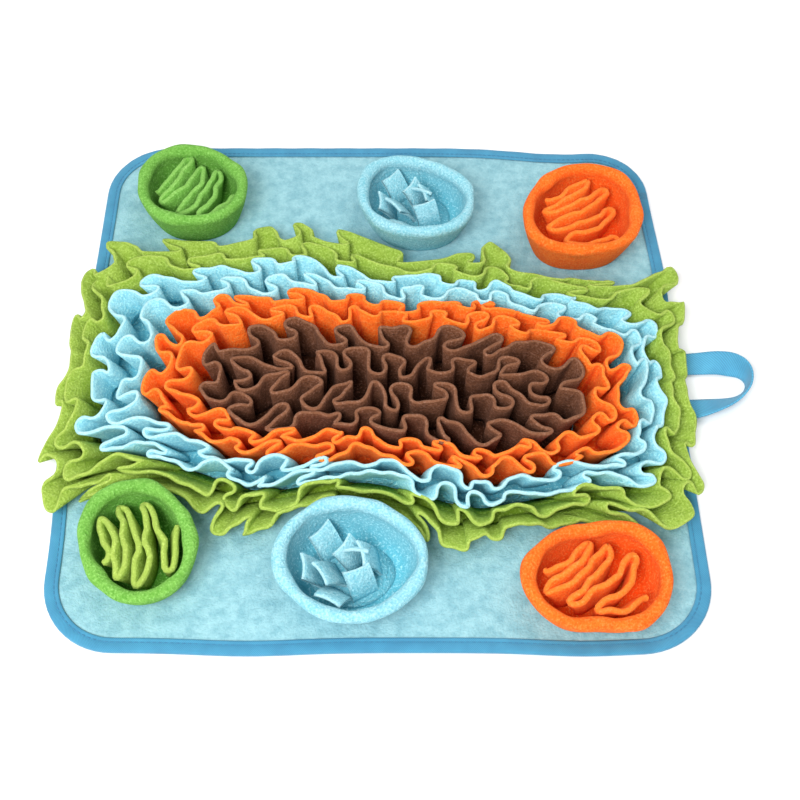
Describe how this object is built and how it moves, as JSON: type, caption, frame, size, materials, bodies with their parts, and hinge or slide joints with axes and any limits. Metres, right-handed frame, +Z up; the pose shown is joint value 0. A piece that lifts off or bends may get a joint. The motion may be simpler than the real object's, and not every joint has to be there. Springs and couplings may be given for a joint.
{
  "type": "snuffle mat",
  "caption": "Square fleece foraging mat with nested oval rings of gathered ruffles, soft filled pockets round them, a bound edge and a webbing loop.",
  "frame": {"origin": "middle of the mat's underside, on the surface it rests on", "axes": "+X right, towards the webbing loop; +Y away from the viewer; +Z up out of the mat"},
  "size_m": [0.5733, 0.5024, 0.0495],
  "materials": {
    "aqua": "short-napped fleece",
    "binding": "twill tape",
    "webbing": "woven webbing",
    "brown": "fleece",
    "orange": "fleece",
    "blue": "fleece",
    "pale": "fleece",
    "green": "fleece",
    "leaf": "fleece"
  },
  "bodies": {
    "root": {"mat_base": "aqua", "edge_binding": "binding", "handle_loop": "webbing", "ruffle_brown": "brown", "ruffle_orange": "orange", "ruffle_blue": "blue", "ruffle_green": "green", "pocket_far_left": "leaf", "pocket_far_middle": "pale", "pocket_far_right": "orange", "pocket_near_left": "leaf", "pocket_near_middle": "pale", "pocket_near_right": "orange", "filling_far_left": "leaf", "filling_far_middle": "pale", "filling_far_right": "orange", "filling_near_left": "leaf", "filling_near_middle": "pale", "filling_near_right": "orange"}
  },
  "joints": []
}
